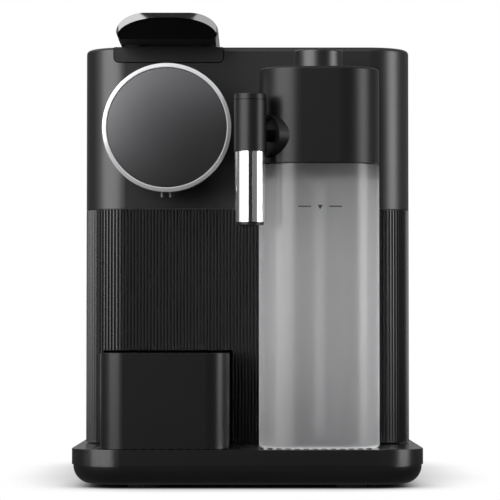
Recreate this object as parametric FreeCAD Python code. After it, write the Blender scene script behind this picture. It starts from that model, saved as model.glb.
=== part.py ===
# Pod coffee machine with a milk jug, as separate pieces. Millimetres, +Z up, front towards -Y.
# The origin lies on the table, under the middle of the machine's outer box.
import FreeCAD, Part
import math
import os

Vector = FreeCAD.Vector
UP = Vector(0, 0, 1)
BACK = Vector(0, 1, 0)
RIGHT = Vector(1, 0, 0)

# Clearances
RUNNING_GAP = 0.05
SLIDE_GAP = 0.3
SEAM_GAP = 0.4
BIN_PASS_GAP = 1.5

# Base: a band with rounded corners over a rounded underside
TOTAL_DEPTH = 367.0
BASE_SIDE = 3.5
FEET_HEIGHT = 2.0
BASE_TOP = 22.2
BAND_HEIGHT = 9.0
BAND_STEP = 0.8
BASE_CORNER = 28.5
UNDERSIDE_ROUND = 10.5
TRAY_DEPTH = 91.5
TRAY_SEAM = 0.5
TRAY_RIM = 12.5
TRAY_FRONT_RIM = 6.0
GRID_THICK = 1.5
GRID_DROP = 0.3
GRID_LEDGE = 2.5
TRAY_FLOOR = 4.0
RUNNER_LENGTH = 50.0
RUNNER_WIDTH = 20.0
RUNNER_HEIGHT = 6.0
RUNNER_SPACING = 120.0

# Slots of the two grilles
SLOT_PITCH = 5.2
SLOT_WIDTH = 3.0
SLOT_LENGTH = 32.0
SLOT_ROW_GAP = 5.0

# Body: ribbed lower shell and smooth upper shell over an inner frame
BODY_SETBACK = 80.0
BODY_GAP = 1.0
BODY_TOP = 260.6
BODY_CORNER = 24.5
BODY_REAR_CORNER = 12.0
SEAM_HEIGHT = 163.0
SHELL_WALL = 3.0
TOP_ROUND = 2.5
RIB_PITCH = 2.0
RIB_DEPTH = 0.6
RIB_WALL = 1.4
RIB_FLANK = 0.35
FRAME_WALL = 2.5
REAR_COVER_MARGIN = 2.0

# Outlet head with its ring, disc and two nozzles
HEAD_SHIFT = 0.25
HEAD_DROP = 51.5
HEAD_LENGTH = 40.0
HEAD_DIAMETER = 72.0
HEAD_WALL = 3.0
HEAD_FLANGE = 78.0
HEAD_FLANGE_THICK = 3.0
RING_DIAMETER = 75.6
RING_BAND = 2.5
RING_DEPTH = 7.0
RING_SLOPE = 1.2
RING_LIP = 0.6
DISC_GAP = 0.4
DISC_DROP = 0.6
NOZZLE_SPACING = 4.9
NOZZLE_DIAMETER = 3.8
NOZZLE_SETBACK = 15.0
NOZZLE_DROP = 2.6

# Lever, its pin and the bay panel under it
LEVER_WIDTH = 60.4
LEVER_HEIGHT = 16.2
LEVER_LIFT = 0.8
LEVER_OVERHANG = 35.0
LEVER_SHOULDER = 17.5
LEVER_SIDE = 4.5
LEVER_HUB_WIDTH = 36.0
LEVER_HUB_RADIUS = 5.6
LEVER_PIVOT_SETBACK = 115.0
LEVER_PIVOT_RISE = 6.8
LEVER_TRIM_DEPTH = 5.0
LEVER_TRIM_EDGE = 3.4
LEVER_TRIM_SIDE = 1.0
LEVER_TRIM_RISE = 4.2
LEVER_NOSE_FLAT = 3.0
LEVER_NOSE_SIDE = 1.8
LEVER_DISH = 1.0
LEVER_CURL = 1.6
PIN_DIAMETER = 5.0
LUG_THICK = 5.0
BAY_WIDTH = 65.5
BAY_DEPTH = 134.0
BAY_DROP = 9.0
BAY_FLOOR = 2.5
BAY_WALL = 2.5
BAY_CORNER = 3.0
BAY_LINE = 0.6
BAY_LINE_DEPTH = 3.0
CAPSULE_SLOT = 36.0
CAPSULE_SLOT_SETBACK = 58.0
LEVER_STROKE = 20.0

# Control panel on the top, to the right of the lever
PANEL_WIDTH = 86.0
PANEL_LENGTH = 62.0
PANEL_SIDE = 13.0
PANEL_SETBACK = 14.0
PANEL_THICK = 1.6
PANEL_CORNER = 6.0

# Capsule bin with the cup stand as its front box
BIN_SIDE = 13.1
BIN_WIDTH = 74.5
BIN_SETBACK = 6.0
BIN_DEPTH = 142.5
BIN_TOP = 77.0
BIN_LIFT = 0.3
BIN_CORNER = 13.5
BIN_REAR_CORNER = 6.0
BIN_WALL = 2.2
STAND_THICK = 2.0
STAND_LEDGE = 2.0
STAND_END_GAP = 6.0

# Milk jug
JUG_SIDE = 21.3
JUG_BIN_GAP = 17.1
JUG_WIDTH = 70.0
JUG_DEPTH = 66.0
JUG_SETBACK = 10.0
JUG_TOP = 186.0
JUG_CORNER = 24.0
JUG_WALL = 2.4
JUG_FLOOR = 5.5
JUG_FOOT_ROUND = 2.0

# Jug lid with skirt, seal, suction tube, steam plug and froth knob
LID_GAP = 0.8
LID_TOP = 242.1
LID_WALL = 2.5
LID_LEDGE = 2.5
LID_LEDGE_HEIGHT = 5.2
LID_ROOF = 4.0
LID_ROUND = 1.5
SKIRT_DROP = 10.0
SKIRT_WALL = 2.5
SKIRT_PLATE = 2.0
SEAL_HEIGHT = 2.0
SEAL_DEPTH = 0.8
SUCTION_DIAMETER = 6.0
SUCTION_BORE = 3.4
SUCTION_FLOOR_GAP = 3.0
KNOB_DIAMETER = 28.9
KNOB_HEIGHT = 12.1
KNOB_STEM = 10.0
STEAM_Z = 215.0
STEAM_DIAMETER = 12.0
STEAM_BORE = 4.0
SOCKET_FLANGE = 20.0

# Milk spout on its collar, which leaves the lid's front left corner
COLLAR_ANGLE = 50.0
COLLAR_Z = 202.3
COLLAR_ROOT = 29.0
COLLAR_END = 24.0
COLLAR_PROUD = 2.2
COLLAR_RECESS = 20.0
COLLAR_RECESS_DEPTH = 3.5
COLLAR_SINK = 9.0
NECK_DIAMETER = 7.0
SPOUT_REACH = 37.9
SLEEVE_DIAMETER = 18.7
SLEEVE_TOP = 222.0
SLEEVE_BOTTOM = 192.4
CAP_HEIGHT = 3.4
CAP_LINE = 0.3
TUBE_DIAMETER = 17.6
TUBE_BOTTOM = 152.0
TIP_DIAMETER = 15.6
TIP_DROP = 1.5
SPOUT_BORE = 8.0

# Water tank, its valve, lid and dock
TANK_WIDTH = 120.0
TANK_DEPTH = 62.5
TANK_GAP = 3.0
TANK_LIFT = 0.5
TANK_TOP = 226.0
TANK_CORNER = 20.0
TANK_FRONT_CORNER = 6.0
TANK_WALL = 2.4
TANK_LID_HEIGHT = 9.0
TANK_LID_PLUG = 6.0
TANK_LID_GAP = 0.4
VALVE_DIAMETER = 22.0
VALVE_HEIGHT = 12.0
VALVE_STEM = 10.0
DOCK_DIAMETER = 30.0
DOCK_DEPTH = 6.0

# Inside: brew frame, piston, heaters, pump and boards
BREW_PLATE = 3.0
BREW_WIDTH = 56.0
BREW_LENGTH = 128.0
BREW_HALF_HEIGHT = 34.0
BREW_LEG_LENGTH = 30.0
BREW_START = 12.0
PISTON_LENGTH = 36.0
PISTON_DIAMETER = 40.0
PISTON_SEAL_DIAMETER = 36.0
PISTON_SEAL_THICK = 2.5
PISTON_GUIDE_HEIGHT = 14.0
PISTON_SETBACK = 64.0
HEATER_WIDTH = 58.0
HEATER_DEPTH = 44.0
HEATER_HEIGHT = 26.0
HEATER_FINS = 5
HEATER_FIN = 3.0
HEATER_POST = 8.0
COFFEE_HEATER_INSET = 48.0
COFFEE_HEATER_Z = 110.0
STEAM_HEATER_SIDE = 22.0
STEAM_HEATER_SETBACK = 63.5
STEAM_HEATER_Z = 110.0
PUMP_SIDE = 34.0
PUMP_INSET = 73.0
PUMP_LENGTH = 62.0
PUMP_DIAMETER = 38.0
PUMP_MOUNT_HEIGHT = 9.0
PUMP_MOUNT_WIDTH = 12.0
METER_DIAMETER = 26.0
METER_HEIGHT = 16.0
METER_INSET = 26.0
VALVE_BLOCK = 22.0
BOARD_THICK = 1.6
BOARD_LENGTH = 100.0
BOARD_HEIGHT = 90.0
BOARD_RISE = 20.0
HOSE_DIAMETER = 6.0
GLAND_DIAMETER = 16.0
GLAND_HEAD = 20.0
GLAND_SIDE = 26.0
GLAND_Z = 60.0
SCREW_HEAD = 7.0
SCREW_LENGTH = 8.0
FOOT_DIAMETER = 18.0
FOOT_SINK = 1.5

# Places worked out from the sizes above
BODY_WIDTH = BIN_SIDE + BIN_WIDTH + JUG_BIN_GAP + JUG_WIDTH + JUG_SIDE
TOTAL_WIDTH = BODY_WIDTH + 2 * BASE_SIDE
BODY_DEPTH = TOTAL_DEPTH - BODY_SETBACK - TANK_GAP - TANK_DEPTH
BASE_FRONT = -TOTAL_DEPTH / 2
BASE_REAR = TOTAL_DEPTH / 2
TRAY_REAR = BASE_FRONT + TRAY_DEPTH
BODY_FRONT = BASE_FRONT + BODY_SETBACK
BODY_REAR = BODY_FRONT + BODY_DEPTH
BODY_BOTTOM = BASE_TOP + BODY_GAP
FRAME_INSET = RIB_DEPTH + RIB_WALL + SLIDE_GAP
FRAME_TOP = SEAM_HEIGHT + SEAM_GAP
GRID_TOP = BASE_TOP - GRID_DROP
GRID_BOTTOM = GRID_TOP - GRID_THICK
BIN_BOTTOM = BASE_TOP + BIN_LIFT
BIN_LEFT = BIN_SIDE - BODY_WIDTH / 2
BIN_RIGHT = BIN_LEFT + BIN_WIDTH
BIN_FRONT = BASE_FRONT + BIN_SETBACK
BIN_REAR = BIN_FRONT + BIN_DEPTH
HEAD_X = (BIN_LEFT + BIN_RIGHT) / 2 + HEAD_SHIFT
LEVER_X = HEAD_X
HEAD_Z = BODY_TOP - HEAD_DROP
HEAD_FACE = BODY_FRONT - HEAD_LENGTH
LEVER_BOTTOM = BODY_TOP + LEVER_LIFT
LEVER_TOP = LEVER_BOTTOM + LEVER_HEIGHT
LEVER_FRONT = BODY_FRONT - LEVER_OVERHANG
PIVOT_Y = BODY_FRONT + LEVER_PIVOT_SETBACK
PIVOT_Z = BODY_TOP + LEVER_PIVOT_RISE
BAY_BOTTOM = BODY_TOP - BAY_DROP
PANEL_X = BODY_WIDTH / 2 - PANEL_SIDE - PANEL_WIDTH / 2
JUG_X = BODY_WIDTH / 2 - JUG_SIDE - JUG_WIDTH / 2
STEAM_X = JUG_X
JUG_BOTTOM = BASE_TOP + BIN_LIFT
JUG_FRONT = BASE_FRONT + JUG_SETBACK
JUG_REAR = JUG_FRONT + JUG_DEPTH
JUG_Y = (JUG_FRONT + JUG_REAR) / 2
LID_BOTTOM = JUG_TOP + LID_GAP
SKIRT_TOP = LID_BOTTOM + LID_LEDGE_HEIGHT
CORNER_X = JUG_X - JUG_WIDTH / 2 + JUG_CORNER
CORNER_Y = JUG_FRONT + JUG_CORNER
COLLAR_DIRECTION = Vector(-math.sin(math.radians(COLLAR_ANGLE)), -math.cos(math.radians(COLLAR_ANGLE)), 0)
TANK_FRONT = BODY_REAR + TANK_GAP
TANK_BOTTOM = BASE_TOP + TANK_LIFT
TANK_Y = (TANK_FRONT + BASE_REAR) / 2
COFFEE_HEATER_X = HEAD_X
COFFEE_HEATER_Y = BODY_REAR - COFFEE_HEATER_INSET
STEAM_HEATER_X = BODY_WIDTH / 2 - STEAM_HEATER_SIDE - HEATER_WIDTH / 2
STEAM_HEATER_Y = BODY_FRONT + STEAM_HEATER_SETBACK
PUMP_X = BODY_WIDTH / 2 - PUMP_SIDE - PUMP_DIAMETER / 2
PUMP_Y = BODY_REAR - PUMP_INSET
METER_X = 0.0
METER_Y = BODY_REAR - METER_INSET
GLAND_X = GLAND_SIDE - BODY_WIDTH / 2


def box(x0, x1, y0, y1, z0, z1):
    return Part.makeBox(x1 - x0, y1 - y0, z1 - z0, Vector(x0, y0, z0))


def rod(diameter, start, direction, length):
    return Part.makeCylinder(diameter / 2, length, start, direction)


def ring(outer, inner, start, direction, length):
    return rod(outer, start, direction, length).cut(rod(inner, start, direction, length))


def rounded_wire(x0, x1, y0, y1, z, front, rear):
    """Rounded rectangle with one radius at its front corners and another at its rear corners."""
    edges = []
    corners = [(x1, y0, front, -90), (x1, y1, rear, 0), (x0, y1, rear, 90), (x0, y0, front, 180)]
    last = None
    first = None
    for x, y, radius, turn in corners:
        centre = Vector(x - math.copysign(radius, x - (x0 + x1) / 2),
                        y - math.copysign(radius, y - (y0 + y1) / 2), z)
        arc = Part.makeCircle(radius, centre, UP, turn, turn + 90)
        if last is None:
            first = arc.Vertexes[0].Point
        else:
            edges.append(Part.makeLine(last, arc.Vertexes[0].Point))
        edges.append(arc)
        last = arc.Vertexes[1].Point
    edges.append(Part.makeLine(last, first))
    return Part.Wire(edges)


def rounded_prism(x0, x1, y0, y1, z0, z1, front, rear):
    wire = rounded_wire(x0, x1, y0, y1, z0, front, rear)
    return Part.Face(wire).extrude(Vector(0, 0, z1 - z0))


def body_prism(inset, z0, z1):
    half = BODY_WIDTH / 2 - inset
    return rounded_prism(-half, half, BODY_FRONT + inset, BODY_REAR - inset, z0, z1,
                         BODY_CORNER - inset, BODY_REAR_CORNER - inset)


def base_prism(inset, z0, z1):
    half = TOTAL_WIDTH / 2 - inset
    return rounded_prism(-half, half, BASE_FRONT + inset, BASE_REAR - inset, z0, z1,
                         BASE_CORNER - inset, BASE_CORNER - inset)


def jug_prism(inset, z0, z1):
    half = JUG_WIDTH / 2 - inset
    return rounded_prism(JUG_X - half, JUG_X + half, JUG_FRONT + inset, JUG_REAR - inset, z0, z1,
                         JUG_CORNER - inset, JUG_CORNER - inset)


def tank_prism(inset, z0, z1):
    half = TANK_WIDTH / 2 - inset
    return rounded_prism(-half, half, TANK_FRONT + inset, BASE_REAR - inset, z0, z1,
                         TANK_FRONT_CORNER - inset, TANK_CORNER - inset)


def edges_at_height(shape, z):
    return [e for e in shape.Edges if all(abs(v.Point.z - z) < 1e-6 for v in e.Vertexes)]


def slot_grid(plate, x0, x1, y0, rows):
    """Cut rows of slots that run front to back into a plate."""
    low = plate.BoundBox.ZMin
    height = plate.BoundBox.ZLength
    count = int((x1 - x0 - SLOT_WIDTH) / SLOT_PITCH) + 1
    start = (x0 + x1) / 2 - (count - 1) * SLOT_PITCH / 2
    slots = []
    for row in range(rows):
        front = y0 + row * (SLOT_LENGTH + SLOT_ROW_GAP)
        for index in range(count):
            x = start + index * SLOT_PITCH
            left = x - SLOT_WIDTH / 2
            slots.append(box(left, left + SLOT_WIDTH, front, front + SLOT_LENGTH, low, low + height))
    return plate.cut(Part.makeCompound(slots))


def save(name, shape):
    shape.exportStep(os.path.join("parts", name + ".step"))


def runner_boxes(gap):
    low = FEET_HEIGHT + TRAY_FLOOR
    boxes = []
    for x in (-RUNNER_SPACING / 2, RUNNER_SPACING / 2):
        half = RUNNER_WIDTH / 2 + gap
        boxes.append(box(x - half, x + half, TRAY_REAR - TRAY_RIM, TRAY_REAR + RUNNER_LENGTH + gap,
                         low - gap, low + RUNNER_HEIGHT + gap))
    return Part.makeCompound(boxes)


def feet(places):
    height = FEET_HEIGHT + FOOT_SINK
    return Part.makeCompound([rod(FOOT_DIAMETER, Vector(x, y, 0), UP, height) for x, y in places])


def tray_foot_places():
    x = RUNNER_SPACING / 2
    return [(-x, BASE_FRONT + BASE_CORNER), (x, BASE_FRONT + BASE_CORNER)]


def base_foot_places():
    x = TOTAL_WIDTH / 2 - BASE_CORNER
    front = TRAY_REAR + RUNNER_LENGTH + FOOT_DIAMETER
    rear = BASE_REAR - BASE_CORNER
    return [(-x, front), (x, front), (-x, rear), (x, rear)]


def base_form():
    band_bottom = BASE_TOP - BAND_HEIGHT
    band = base_prism(0, band_bottom, BASE_TOP)
    under = base_prism(BAND_STEP, FEET_HEIGHT, band_bottom)
    under = under.makeFillet(UNDERSIDE_ROUND, edges_at_height(under, FEET_HEIGHT))
    return band.fuse(under)


def grid_outline(inset, z0, z1):
    half = TOTAL_WIDTH / 2 - TRAY_RIM - inset
    rear = TRAY_REAR - TRAY_SEAM - TRAY_FLOOR - inset
    return rounded_prism(-half, half, BASE_FRONT + TRAY_FRONT_RIM + inset, rear, z0, z1,
                         BASE_CORNER - TRAY_RIM, GRID_LEDGE + SLOT_WIDTH)


def make_drip_tray(form):
    tray = form.common(box(-TOTAL_WIDTH, TOTAL_WIDTH, BASE_FRONT, TRAY_REAR - TRAY_SEAM, 0, BASE_TOP))
    tray = tray.fuse(runner_boxes(0))
    tray = tray.cut(grid_outline(0, GRID_BOTTOM, BASE_TOP + GRID_THICK))
    tray = tray.cut(grid_outline(GRID_LEDGE, FEET_HEIGHT + TRAY_FLOOR, BASE_TOP))
    save("drip_tray", tray.cut(feet(tray_foot_places())).removeSplitter())
    save("tray_feet", feet(tray_foot_places()))
    grid = grid_outline(SLIDE_GAP, GRID_BOTTOM, GRID_TOP)
    bounds = grid.BoundBox
    slot_side = BASE_CORNER - TRAY_RIM
    grid = slot_grid(grid, bounds.XMin + slot_side, bounds.XMax - slot_side, bounds.YMin + SLOT_ROW_GAP, 2)
    save("drip_grid", grid)


def heater_posts(x, y, z):
    """Two posts that stand on the base and carry a heater block."""
    posts = []
    for side in (-1, 1):
        post_x = x + side * (HEATER_WIDTH / 2 - HEATER_POST)
        posts.append(box(post_x - HEATER_POST / 2, post_x + HEATER_POST / 2,
                         y - HEATER_DEPTH / 2 + HEATER_POST, y + HEATER_DEPTH / 2 - HEATER_POST, BASE_TOP, z))
    return posts


def bin_channel(gap, top):
    return box(BIN_LEFT - gap, BIN_RIGHT + gap, BODY_FRONT - BODY_CORNER, BIN_REAR + gap, BASE_TOP, top)


def make_base_chassis(form):
    chassis = form.common(box(-TOTAL_WIDTH, TOTAL_WIDTH, TRAY_REAR, BASE_REAR, 0, BASE_TOP))
    plinth = body_prism(FRAME_INSET, BASE_TOP, BODY_BOTTOM)
    plinth = plinth.cut(box(-TOTAL_WIDTH, TOTAL_WIDTH, BASE_FRONT, TRAY_REAR, 0, BODY_TOP))
    chassis = chassis.fuse(plinth.cut(bin_channel(BIN_PASS_GAP, BODY_BOTTOM)))
    posts = heater_posts(COFFEE_HEATER_X, COFFEE_HEATER_Y, COFFEE_HEATER_Z)
    posts += heater_posts(STEAM_HEATER_X, STEAM_HEATER_Y, STEAM_HEATER_Z)
    chassis = chassis.fuse(posts)
    chassis = chassis.cut(runner_boxes(SLIDE_GAP))
    chassis = chassis.cut(feet(base_foot_places()))
    chassis = chassis.cut(rod(DOCK_DIAMETER, Vector(0, TANK_Y, BASE_TOP - DOCK_DEPTH), UP, DOCK_DEPTH))
    inlet_z = BASE_TOP - DOCK_DEPTH - HOSE_DIAMETER
    chassis = chassis.cut(hose([(0, TANK_Y, BASE_TOP), (0, TANK_Y, inlet_z), (METER_X, METER_Y, inlet_z),
                                (METER_X, METER_Y, BODY_BOTTOM)], HOSE_DIAMETER + 2 * SLIDE_GAP))
    save("base_chassis", chassis.removeSplitter())
    save("base_feet", feet(base_foot_places()))


def hose(points, diameter):
    """Straight runs of tube with a ball at each bend."""
    path = [Vector(*point) for point in points]
    runs = [rod(diameter, a, b - a, (b - a).Length) for a, b in zip(path, path[1:])]
    balls = [Part.makeSphere(diameter / 2, point) for point in path[1:-1]]
    return runs[0].fuse(runs[1:] + balls)


def bin_opening():
    return box(BIN_LEFT - BIN_PASS_GAP, BIN_RIGHT + BIN_PASS_GAP, BODY_FRONT - BODY_CORNER,
               BODY_FRONT + BODY_CORNER, BASE_TOP, BIN_TOP + BIN_PASS_GAP)


def make_inner_frame():
    frame = body_prism(FRAME_INSET, BODY_BOTTOM, FRAME_TOP)
    frame = frame.cut(body_prism(FRAME_INSET + FRAME_WALL, BODY_BOTTOM, FRAME_TOP))
    frame = frame.cut(bin_opening())
    gland = Vector(GLAND_X, BODY_REAR - BODY_CORNER, GLAND_Z)
    frame = frame.cut(rod(GLAND_DIAMETER, gland, BACK, BODY_CORNER))
    save("inner_frame", frame.cut(cover_screws(0)))


def rib_edges(valleys, crests):
    """Edges of a row of ribs, each with two flanks and a narrow crest between them."""
    edges = []
    for near, far, (left, right) in zip(valleys, valleys[1:], crests):
        edges += [Part.makeLine(near, left), Part.makeLine(left, right), Part.makeLine(right, far)]
    return edges


def rib_run(start, step, count):
    """Ribs along a straight run."""
    outward = step.cross(UP).normalize() * RIB_DEPTH
    valleys = [start + step * index for index in range(count + 1)]
    crests = [(v + step * RIB_FLANK + outward, v + step * (1 - RIB_FLANK) + outward) for v in valleys]
    return rib_edges(valleys, crests)


def rib_corner(centre, radius, start_angle, count):
    """Ribs round a quarter turn, with their valleys on the given radius."""
    def on_circle(reach, index):
        turn = math.radians(start_angle) + index * math.pi / 2 / count
        return centre + Vector(math.cos(turn), math.sin(turn), 0) * reach
    crest = radius + RIB_DEPTH
    valleys = [on_circle(radius, index) for index in range(count + 1)]
    crests = [(on_circle(crest, i + RIB_FLANK), on_circle(crest, i + 1 - RIB_FLANK)) for i in range(count)]
    return rib_edges(valleys, crests)


def make_ribbed_shell():
    half = BODY_WIDTH / 2 - RIB_DEPTH
    front = BODY_FRONT + RIB_DEPTH
    rear = BODY_REAR - RIB_DEPTH
    radius = BODY_CORNER - RIB_DEPTH
    side_end = rear - BODY_REAR_CORNER
    z = BODY_BOTTOM
    left = Vector(-half + radius, front + radius, z)
    right = Vector(half - radius, front + radius, z)
    front_count = round((right.x - left.x) / RIB_PITCH)
    side_count = round((side_end - left.y) / RIB_PITCH)
    corner_count = round(radius * math.pi / 2 / RIB_PITCH)
    side_step = Vector(0, (side_end - left.y) / side_count, 0)
    front_step = Vector((right.x - left.x) / front_count, 0, 0)
    edges = rib_run(Vector(-half, side_end, z), side_step * -1, side_count)
    edges += rib_corner(left, radius, 180, corner_count)
    edges += rib_run(Vector(left.x, front, z), front_step, front_count)
    edges += rib_corner(right, radius, 270, corner_count)
    edges += rib_run(Vector(half, right.y, z), side_step, side_count)
    corner = BODY_REAR_CORNER
    edges.append(Part.makeCircle(corner, Vector(half - corner, side_end, z), UP, 0, 90))
    edges.append(Part.makeLine(Vector(half - corner, rear, z), Vector(-half + corner, rear, z)))
    edges.append(Part.makeCircle(corner, Vector(-half + corner, side_end, z), UP, 90, 180))
    outline = Part.Face(Part.Wire(Part.__sortEdges__(edges)))
    shell = outline.extrude(Vector(0, 0, SEAM_HEIGHT - BODY_BOTTOM))
    shell = shell.cut(body_prism(RIB_DEPTH + RIB_WALL, BODY_BOTTOM, SEAM_HEIGHT))
    shell = shell.cut(bin_opening())
    save("ribbed_shell", shell.cut(rear_cover_box(SLIDE_GAP)))


def rear_cover_box(gap):
    half = BODY_WIDTH / 2 - REAR_COVER_MARGIN - BODY_REAR_CORNER + gap
    return box(-half, half, BODY_REAR - FRAME_INSET + (SLIDE_GAP if gap == 0 else -gap), BODY_REAR,
               BODY_BOTTOM - gap, SEAM_HEIGHT + gap)


def cover_screws(head_drop):
    """Four screws that hold the rear cover on the inner frame."""
    x = BODY_WIDTH / 2 - REAR_COVER_MARGIN - BODY_REAR_CORNER - SCREW_HEAD
    screws = []
    for side in (-1, 1):
        for z in (BODY_BOTTOM + SCREW_HEAD * 2, SEAM_HEIGHT - SCREW_HEAD * 2):
            tail = Vector(side * x, BODY_REAR - SCREW_LENGTH, z)
            screws.append(rod(SCREW_HEAD / 2, tail, BACK, SCREW_LENGTH - head_drop))
    return Part.makeCompound(screws)


def make_rear_cover():
    cover = rear_cover_box(0)
    gland_hole = rod(GLAND_DIAMETER, Vector(GLAND_X, BODY_REAR - BODY_CORNER, GLAND_Z), BACK, BODY_CORNER)
    save("rear_cover", cover.cut(gland_hole).cut(cover_screws(0)))
    save("shell_screws", cover_screws(SLIDE_GAP))
    root = Vector(GLAND_X, BODY_REAR - SCREW_LENGTH, GLAND_Z)
    gland = rod(GLAND_DIAMETER - 2 * RUNNING_GAP, root, BACK, SCREW_LENGTH)
    gland = gland.fuse(rod(GLAND_HEAD, Vector(GLAND_X, BODY_REAR, GLAND_Z), BACK, FEET_HEIGHT))
    save("cord_gland", gland.cut(rod(GLAND_DIAMETER / 2, root, BACK, BODY_CORNER)))


def bay_outline(gap, y0, y1):
    """Block with two rounded lower edges that fills the lever bay."""
    half = BAY_WIDTH / 2 + gap
    low = BAY_BOTTOM - gap
    block = box(LEVER_X - half, LEVER_X + half, y0, y1, low, BODY_TOP)
    edges = [e for e in edges_at_height(block, low) if abs(e.Vertexes[0].Y - e.Vertexes[1].Y) > BAY_WALL]
    return block.makeFillet(BAY_CORNER + gap, edges)


def panel_prism(gap):
    half = PANEL_WIDTH / 2 + gap
    front = BODY_FRONT + PANEL_SETBACK
    return rounded_prism(PANEL_X - half, PANEL_X + half, front - gap, front + PANEL_LENGTH + gap,
                         BODY_TOP - PANEL_THICK, BODY_TOP, PANEL_CORNER, PANEL_CORNER)


def make_upper_shell():
    shell = body_prism(0, FRAME_TOP, BODY_TOP)
    shell = shell.makeFillet(TOP_ROUND, edges_at_height(shell, BODY_TOP))
    shell = shell.cut(body_prism(SHELL_WALL, FRAME_TOP, BODY_TOP - SHELL_WALL))
    shell = shell.cut(bay_outline(BAY_LINE, BODY_FRONT, BODY_FRONT + BAY_LINE_DEPTH))
    shell = shell.cut(bay_outline(RUNNING_GAP, BODY_FRONT, BODY_FRONT + BAY_DEPTH + RUNNING_GAP))
    front = Vector(HEAD_X, BODY_FRONT, HEAD_Z)
    shell = shell.cut(rod(HEAD_DIAMETER + 2 * SLIDE_GAP, front, BACK, BODY_CORNER))
    socket = Vector(STEAM_X, BODY_FRONT, STEAM_Z)
    shell = shell.cut(rod(STEAM_DIAMETER + 2 * SLIDE_GAP, socket, BACK, SHELL_WALL))
    save("upper_shell", shell.cut(panel_prism(SLIDE_GAP)))
    save("control_panel", panel_prism(0))
    board = panel_prism(-PANEL_CORNER)
    board.translate(Vector(0, 0, PANEL_THICK - SHELL_WALL - BOARD_THICK))
    save("touch_board", board)


def make_outlet_head():
    seat = HEAD_FACE + RING_DEPTH
    inner = BODY_FRONT + SHELL_WALL
    head = rod(HEAD_DIAMETER, Vector(HEAD_X, seat, HEAD_Z), BACK, inner - seat)
    flange = rod(HEAD_FLANGE, Vector(HEAD_X, inner, HEAD_Z), BACK, HEAD_FLANGE_THICK)
    head = head.fuse(flange.common(body_prism(SHELL_WALL, FRAME_TOP, BODY_TOP)))
    bore = Vector(HEAD_X, seat + HEAD_WALL, HEAD_Z)
    head = head.cut(rod(HEAD_DIAMETER - 2 * HEAD_WALL, bore, BACK, HEAD_LENGTH + HEAD_WALL))
    save("outlet_head", head.cut(nozzle_block(RUNNING_GAP)))
    face = Vector(HEAD_X, HEAD_FACE, HEAD_Z)
    inside = RING_DIAMETER - 2 * RING_BAND
    bevel = Part.makeCone(inside / 2 + RING_LIP, RING_DIAMETER / 2, RING_SLOPE, face, BACK)
    band = bevel.fuse(rod(RING_DIAMETER, face + BACK * RING_SLOPE, BACK, RING_DEPTH - RING_SLOPE))
    save("outlet_ring", band.cut(rod(inside, face, BACK, RING_DEPTH)).removeSplitter())
    save("outlet_disc", rod(inside - 2 * DISC_GAP, face + BACK * DISC_DROP, BACK, RING_DEPTH - DISC_DROP))
    save("coffee_outlet", nozzle_block(0).fuse(nozzles()).removeSplitter())


def nozzle_block(gap):
    y = HEAD_FACE + NOZZLE_SETBACK
    half = NOZZLE_SPACING + gap
    low = HEAD_Z - HEAD_DIAMETER / 2
    return box(HEAD_X - half, HEAD_X + half, y - half, y + half, low, low + 3 * HEAD_WALL)


def nozzles():
    y = HEAD_FACE + NOZZLE_SETBACK
    low = HEAD_Z - RING_DIAMETER / 2 - NOZZLE_DROP
    length = HEAD_Z - HEAD_DIAMETER / 2 + HEAD_WALL - low
    return [rod(NOZZLE_DIAMETER, Vector(HEAD_X + side * NOZZLE_SPACING / 2, y, low), UP, length)
            for side in (-1, 1)]


def lever_outline(y, half, shoulder, side, rise):
    """Front outline of the lever: flat top, large shoulders and sides that curl in below."""
    flat = half - shoulder

    def point(x, z):
        return Vector(LEVER_X + x, y, LEVER_BOTTOM + z)

    def shoulder_arc(side_sign):
        ellipse = Part.Ellipse(point(side_sign * half, side), point(side_sign * flat, rise),
                               point(side_sign * flat, side))
        return Part.ArcOfEllipse(ellipse, 0, math.pi / 2).toShape()

    foot = half - LEVER_CURL
    edges = [Part.makeLine(point(-foot, 0), point(-half, side)), shoulder_arc(-1),
             Part.makeLine(point(-flat, rise), point(flat, rise)), shoulder_arc(1),
             Part.makeLine(point(half, side), point(foot, 0)), Part.makeLine(point(foot, 0), point(-foot, 0))]
    return Part.Wire(Part.__sortEdges__(edges))


def lever_section(y):
    return lever_outline(y, LEVER_WIDTH / 2, LEVER_SHOULDER, LEVER_SIDE, LEVER_TOP - LEVER_BOTTOM)


def nose_section(y):
    half = LEVER_WIDTH / 2 - LEVER_TRIM_SIDE
    rise = LEVER_TOP - LEVER_BOTTOM - LEVER_TRIM_EDGE
    return lever_outline(y, half, half - LEVER_NOSE_FLAT, LEVER_NOSE_SIDE, rise)


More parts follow.
